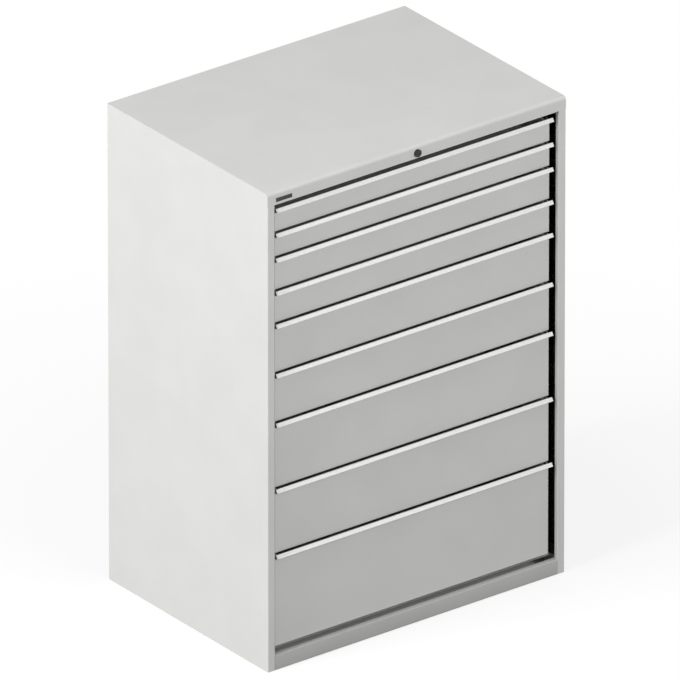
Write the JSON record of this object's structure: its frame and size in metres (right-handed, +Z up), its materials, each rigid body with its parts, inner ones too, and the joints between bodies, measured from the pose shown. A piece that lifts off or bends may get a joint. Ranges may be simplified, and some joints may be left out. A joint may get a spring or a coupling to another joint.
{
  "type": "drawer cabinet",
  "caption": "Free-standing sheet-steel workshop cabinet with a stack of full-width drawers on full-extension roller slides, label-strip grips and a central lock.",
  "frame": {"origin": "bottom centre of the box round the whole cabinet, lock included, on the floor", "axes": "+Z up, the drawers' fronts face -Y, +X to the right as seen from the front is to the viewer's right"},
  "size_m": [1.023, 0.731, 1.4515],
  "materials": {
    "casing_steel": "light grey powder coat",
    "base_steel": "grey powder coat, a shade darker",
    "front_steel": "light grey powder coat",
    "drawer_steel": "light grey powder coat",
    "handle_aluminium": "satin anodised with a white label strip",
    "slide_steel": "zinc plated, black passivated",
    "lock_plastic": "fine matt black",
    "lock_metal": "nickel plated"
  },
  "bodies": {
    "casing": {"left_side_panel": "casing_steel", "right_side_panel": "casing_steel", "back_panel": "casing_steel", "top_panel": "casing_steel", "bottom_panel": "casing_steel", "base_strip": "base_steel", "left_front_upright": "slide_steel", "right_front_upright": "slide_steel", "left_rear_upright": "slide_steel", "right_rear_upright": "slide_steel", "left_cabinet_rails": "slide_steel", "right_cabinet_rails": "slide_steel", "lock_housing": "lock_plastic", "lock_nut": "lock_metal", "lock_bar_guides": "slide_steel", "lock_rod_bearing": "slide_steel"},
    "lock": {"lock_cylinder": "lock_metal", "lock_rod": "slide_steel"},
    "lock_bar": {"lock_bar": "slide_steel"},
    "drawer_1": {"drawer_1_tray": "drawer_steel", "drawer_1_front": "front_steel", "drawer_1_handle": "handle_aluminium"},
    "carriage_1": {"carriage_1": "slide_steel"},
    "drawer_2": {"drawer_2_tray": "drawer_steel", "drawer_2_front": "front_steel", "drawer_2_handle": "handle_aluminium"},
    "carriage_2": {"carriage_2": "slide_steel"},
    "drawer_3": {"drawer_3_tray": "drawer_steel", "drawer_3_front": "front_steel", "drawer_3_handle": "handle_aluminium"},
    "carriage_3": {"carriage_3": "slide_steel"},
    "drawer_4": {"drawer_4_tray": "drawer_steel", "drawer_4_front": "front_steel", "drawer_4_handle": "handle_aluminium"},
    "carriage_4": {"carriage_4": "slide_steel"},
    "drawer_5": {"drawer_5_tray": "drawer_steel", "drawer_5_front": "front_steel", "drawer_5_handle": "handle_aluminium"},
    "carriage_5": {"carriage_5": "slide_steel"},
    "drawer_6": {"drawer_6_tray": "drawer_steel", "drawer_6_front": "front_steel", "drawer_6_handle": "handle_aluminium"},
    "carriage_6": {"carriage_6": "slide_steel"},
    "drawer_7": {"drawer_7_tray": "drawer_steel", "drawer_7_front": "front_steel", "drawer_7_handle": "handle_aluminium"},
    "carriage_7": {"carriage_7": "slide_steel"},
    "drawer_8": {"drawer_8_tray": "drawer_steel", "drawer_8_front": "front_steel", "drawer_8_handle": "handle_aluminium"},
    "carriage_8": {"carriage_8": "slide_steel"},
    "drawer_9": {"drawer_9_tray": "drawer_steel", "drawer_9_front": "front_steel", "drawer_9_handle": "handle_aluminium"},
    "carriage_9": {"carriage_9": "slide_steel"}
  },
  "joints": [
    {"name": "lock_turn", "type": "hinge", "parent": "casing", "child": "lock", "pos_m": [0, -0.3395, 1.428], "axis": [0, 1, 0], "range_deg": [0, 90]},
    {"name": "lock_bar_lift", "type": "slide", "parent": "casing", "child": "lock_bar", "axis": [0, 0, 1], "range_m": [0, 0.01]},
    {"name": "drawer_1_slide", "type": "slide", "parent": "casing", "child": "drawer_1", "axis": [0, -1, 0], "range_m": [0, 0.6]},
    {"name": "carriage_1_slide", "type": "slide", "parent": "casing", "child": "carriage_1", "axis": [0, -1, 0], "range_m": [0, 0.3]},
    {"name": "drawer_2_slide", "type": "slide", "parent": "casing", "child": "drawer_2", "axis": [0, -1, 0], "range_m": [0, 0.6]},
    {"name": "carriage_2_slide", "type": "slide", "parent": "casing", "child": "carriage_2", "axis": [0, -1, 0], "range_m": [0, 0.3]},
    {"name": "drawer_3_slide", "type": "slide", "parent": "casing", "child": "drawer_3", "axis": [0, -1, 0], "range_m": [0, 0.6]},
    {"name": "carriage_3_slide", "type": "slide", "parent": "casing", "child": "carriage_3", "axis": [0, -1, 0], "range_m": [0, 0.3]},
    {"name": "drawer_4_slide", "type": "slide", "parent": "casing", "child": "drawer_4", "axis": [0, -1, 0], "range_m": [0, 0.6]},
    {"name": "carriage_4_slide", "type": "slide", "parent": "casing", "child": "carriage_4", "axis": [0, -1, 0], "range_m": [0, 0.3]},
    {"name": "drawer_5_slide", "type": "slide", "parent": "casing", "child": "drawer_5", "axis": [0, -1, 0], "range_m": [0, 0.6]},
    {"name": "carriage_5_slide", "type": "slide", "parent": "casing", "child": "carriage_5", "axis": [0, -1, 0], "range_m": [0, 0.3]},
    {"name": "drawer_6_slide", "type": "slide", "parent": "casing", "child": "drawer_6", "axis": [0, -1, 0], "range_m": [0, 0.6]},
    {"name": "carriage_6_slide", "type": "slide", "parent": "casing", "child": "carriage_6", "axis": [0, -1, 0], "range_m": [0, 0.3]},
    {"name": "drawer_7_slide", "type": "slide", "parent": "casing", "child": "drawer_7", "axis": [0, -1, 0], "range_m": [0, 0.6]},
    {"name": "carriage_7_slide", "type": "slide", "parent": "casing", "child": "carriage_7", "axis": [0, -1, 0], "range_m": [0, 0.3]},
    {"name": "drawer_8_slide", "type": "slide", "parent": "casing", "child": "drawer_8", "axis": [0, -1, 0], "range_m": [0, 0.6]},
    {"name": "carriage_8_slide", "type": "slide", "parent": "casing", "child": "carriage_8", "axis": [0, -1, 0], "range_m": [0, 0.3]},
    {"name": "drawer_9_slide", "type": "slide", "parent": "casing", "child": "drawer_9", "axis": [0, -1, 0], "range_m": [0, 0.6]},
    {"name": "carriage_9_slide", "type": "slide", "parent": "casing", "child": "carriage_9", "axis": [0, -1, 0], "range_m": [0, 0.3]}
  ],
  "couplings": [
    {"joint": "lock_turn", "follows": "lock_bar_lift", "rad_per_m": 157.08},
    {"joint": "carriage_1_slide", "follows": "drawer_1_slide", "ratio": 0.5},
    {"joint": "carriage_2_slide", "follows": "drawer_2_slide", "ratio": 0.5},
    {"joint": "carriage_3_slide", "follows": "drawer_3_slide", "ratio": 0.5},
    {"joint": "carriage_4_slide", "follows": "drawer_4_slide", "ratio": 0.5},
    {"joint": "carriage_5_slide", "follows": "drawer_5_slide", "ratio": 0.5},
    {"joint": "carriage_6_slide", "follows": "drawer_6_slide", "ratio": 0.5},
    {"joint": "carriage_7_slide", "follows": "drawer_7_slide", "ratio": 0.5},
    {"joint": "carriage_8_slide", "follows": "drawer_8_slide", "ratio": 0.5},
    {"joint": "carriage_9_slide", "follows": "drawer_9_slide", "ratio": 0.5}
  ]
}
